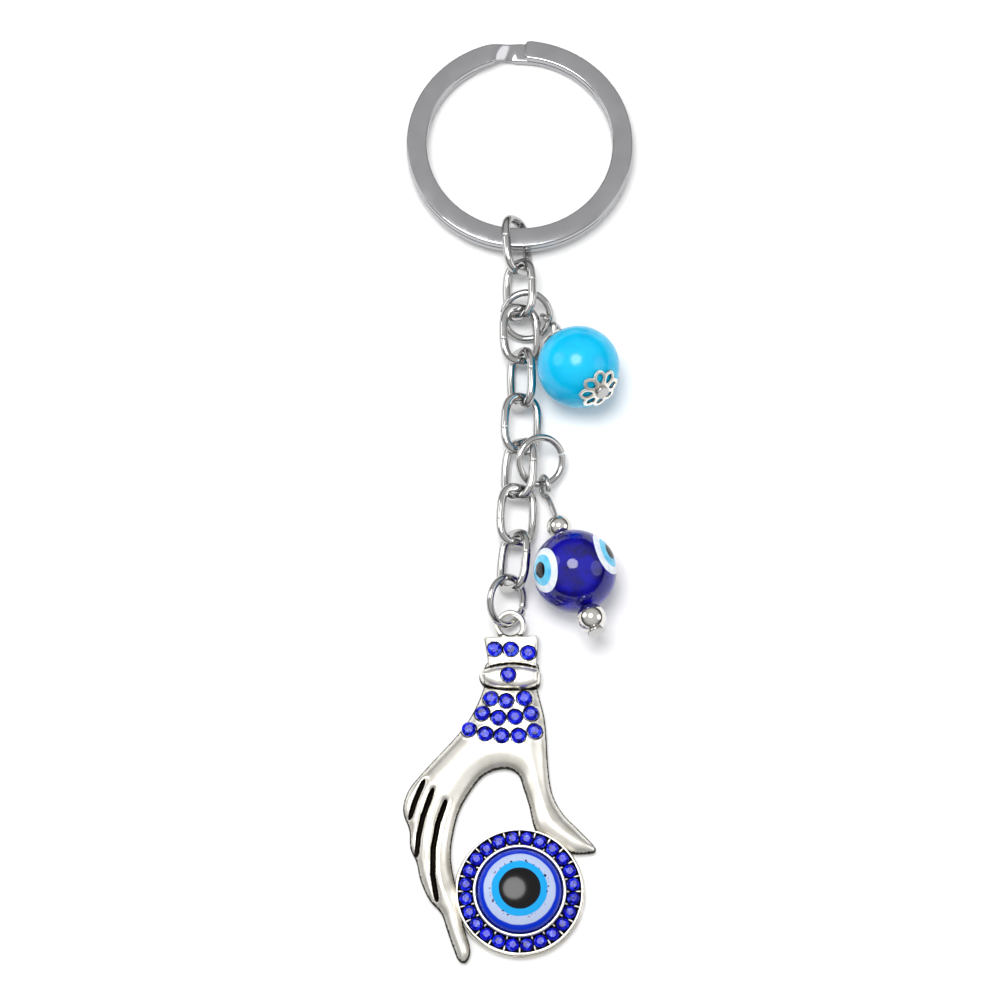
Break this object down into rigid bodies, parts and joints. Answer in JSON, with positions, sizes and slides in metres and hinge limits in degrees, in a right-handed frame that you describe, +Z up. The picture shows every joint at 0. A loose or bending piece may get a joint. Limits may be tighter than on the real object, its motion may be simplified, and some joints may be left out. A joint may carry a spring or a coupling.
{
  "type": "evil eye bag charm",
  "caption": "Cast hand holding a round domed eye, hung on an oval link chain with two glass bead dangles from a split ring.",
  "frame": {"origin": "centre of the round medallion's flat back, on the surface that the charm lies on", "axes": "+Y runs along the chain from the medallion to the split ring, +Z is up out of the surface that the charm lies on, +X is to the right seen from the front"},
  "size_m": [0.028, 0.1161, 0.01],
  "materials": {
    "polished_nickel": "polished nickel plate on steel wire",
    "antique_silver": "cast zinc with worn antique silver plate, dark in the recesses",
    "turquoise_glass": "polished turquoise glass, slightly translucent",
    "cobalt_glass": "polished transparent cobalt lampwork glass with trailed eyes",
    "sapphire_glass": "faceted blue glass stones with foiled backs",
    "eye_glass": "clear dome over printed blue, white and black rings"
  },
  "bodies": {
    "key_ring": {"key_ring": "polished_nickel"},
    "chain_link_1": {"chain_link_1": "polished_nickel"},
    "chain_link_2": {"chain_link_2": "polished_nickel"},
    "chain_link_3": {"chain_link_3": "polished_nickel"},
    "chain_link_4": {"chain_link_4": "polished_nickel"},
    "chain_link_5": {"chain_link_5": "polished_nickel"},
    "chain_link_6": {"chain_link_6": "polished_nickel"},
    "chain_link_7": {"chain_link_7": "polished_nickel"},
    "chain_link_8": {"chain_link_8": "polished_nickel"},
    "jump_ring_turquoise": {"jump_ring_turquoise": "polished_nickel"},
    "jump_ring_eye": {"jump_ring_eye": "polished_nickel"},
    "jump_ring_pendant": {"jump_ring_pendant": "polished_nickel"},
    "head_pin_turquoise": {"head_pin_turquoise": "polished_nickel"},
    "bead_turquoise": {"bead_turquoise": "turquoise_glass", "bead_cap_upper": "antique_silver", "bead_cap_lower": "antique_silver"},
    "head_pin_eye": {"head_pin_eye": "polished_nickel"},
    "bead_lampwork": {"bead_lampwork": "cobalt_glass"},
    "spacer_upper": {"spacer_upper": "antique_silver"},
    "spacer_lower": {"spacer_lower": "antique_silver"},
    "pendant": {"hand_casting": "antique_silver", "wrist_stone_01": "sapphire_glass", "wrist_stone_02": "sapphire_glass", "wrist_stone_03": "sapphire_glass", "wrist_stone_04": "sapphire_glass", "wrist_stone_05": "sapphire_glass", "wrist_stone_06": "sapphire_glass", "wrist_stone_07": "sapphire_glass", "wrist_stone_08": "sapphire_glass", "wrist_stone_09": "sapphire_glass", "wrist_stone_10": "sapphire_glass", "wrist_stone_11": "sapphire_glass", "wrist_stone_12": "sapphire_glass", "wrist_stone_13": "sapphire_glass", "wrist_stone_14": "sapphire_glass", "wrist_stone_15": "sapphire_glass", "wrist_stone_16": "sapphire_glass", "halo_stones": "sapphire_glass", "eye_cabochon": "eye_glass"}
  },
  "joints": [
    {"name": "link_1_slide", "type": "hinge", "parent": "key_ring", "child": "chain_link_1", "pos_m": [0.00014, 0.09376, 0.00176], "axis": [0, -0.0505, -0.9987], "range_deg": [-140, 140]},
    {"name": "link_2_swing", "type": "hinge", "parent": "chain_link_1", "child": "chain_link_2", "pos_m": [0.00006, 0.07681, 0.0024], "axis": [-0.5714, -0.05, 0.8192], "range_deg": [-75, 75]},
    {"name": "link_3_swing", "type": "hinge", "parent": "chain_link_2", "child": "chain_link_3", "pos_m": [0.00016, 0.07106, 0.0024], "axis": [-0.4313, 0.4313, -0.7924], "range_deg": [-1, 55]},
    {"name": "link_4_swing", "type": "hinge", "parent": "chain_link_3", "child": "chain_link_4", "pos_m": [0.00026, 0.06531, 0.0024], "axis": [-0.9395, -0.0164, 0.342], "range_deg": [-75, 10]},
    {"name": "link_5_swing", "type": "hinge", "parent": "chain_link_4", "child": "chain_link_5", "pos_m": [0.00036, 0.05956, 0.0024], "axis": [-0.5735, -0.01, -0.8192], "range_deg": [-57.5, 75]},
    {"name": "link_6_swing", "type": "hinge", "parent": "chain_link_5", "child": "chain_link_6", "pos_m": [0.00016, 0.05381, 0.0024], "axis": [0.9058, -0.0316, -0.4226], "range_deg": [-40, 75]},
    {"name": "link_7_swing", "type": "hinge", "parent": "chain_link_6", "child": "chain_link_7", "pos_m": [-0.00014, 0.04807, 0.0024], "axis": [-0.8193, -0.2198, -0.5295], "range_deg": [-52.5, 35]},
    {"name": "link_8_swing", "type": "hinge", "parent": "chain_link_7", "child": "chain_link_8", "pos_m": [-0.00044, 0.04233, 0.0024], "axis": [-0.8898, 0.0466, 0.454], "range_deg": [-75, 17.5]},
    {"name": "turquoise_ring_swing", "type": "hinge", "parent": "chain_link_2", "child": "jump_ring_turquoise", "pos_m": [0.00016, 0.07106, 0.0024], "axis": [-0.0201, 0.2307, -0.9728], "range_deg": [-45, 0]},
    {"name": "eye_ring_swing", "type": "hinge", "parent": "chain_link_6", "child": "jump_ring_eye", "pos_m": [-0.00014, 0.04807, 0.0024], "axis": [0.2412, 0.9346, 0.2613], "range_deg": [-9, 37.5]},
    {"name": "pendant_ring_swing", "type": "hinge", "parent": "chain_link_8", "child": "jump_ring_pendant", "pos_m": [-0.00094, 0.0366, 0.0024], "axis": [0.6666, -0.0583, 0.7431], "range_deg": [-75, 75]},
    {"name": "turquoise_pin_swing", "type": "hinge", "parent": "jump_ring_turquoise", "child": "head_pin_turquoise", "pos_m": [0.00375, 0.07086, 0.00136], "axis": [-0.7598, -0.6498, 0.02], "range_deg": [-17.5, 75]},
    {"name": "eye_pin_swing", "type": "hinge", "parent": "jump_ring_eye", "child": "head_pin_eye", "pos_m": [0.00302, 0.04984, 0.00188], "axis": [0.9817, 0.01, -0.1903], "range_deg": [-75, 75]},
    {"name": "turquoise_bead_spin", "type": "hinge", "parent": "head_pin_turquoise", "child": "bead_turquoise", "pos_m": [0.00721, 0.06373, 0.00505], "axis": [0.5002, -0.7303, 0.4652], "continuous": true},
    {"name": "lampwork_bead_spin", "type": "hinge", "parent": "head_pin_eye", "child": "bead_lampwork", "pos_m": [0.00664, 0.03804, 0.00505], "axis": [0.2838, -0.926, 0.2489], "continuous": true},
    {"name": "upper_spacer_spin", "type": "hinge", "parent": "head_pin_eye", "child": "spacer_upper", "pos_m": [0.00481, 0.044, 0.00345], "axis": [0.2838, -0.926, 0.2489], "continuous": true},
    {"name": "lower_spacer_spin", "type": "hinge", "parent": "head_pin_eye", "child": "spacer_lower", "pos_m": [0.00854, 0.03183, 0.00672], "axis": [0.2838, -0.926, 0.2489], "continuous": true},
    {"name": "pendant_swing", "type": "hinge", "parent": "jump_ring_pendant", "child": "pendant", "pos_m": [-0.0026, 0.03244, 0.00294], "axis": [0.6606, 0.2102, -0.7207], "range_deg": [-30, 75]}
  ]
}
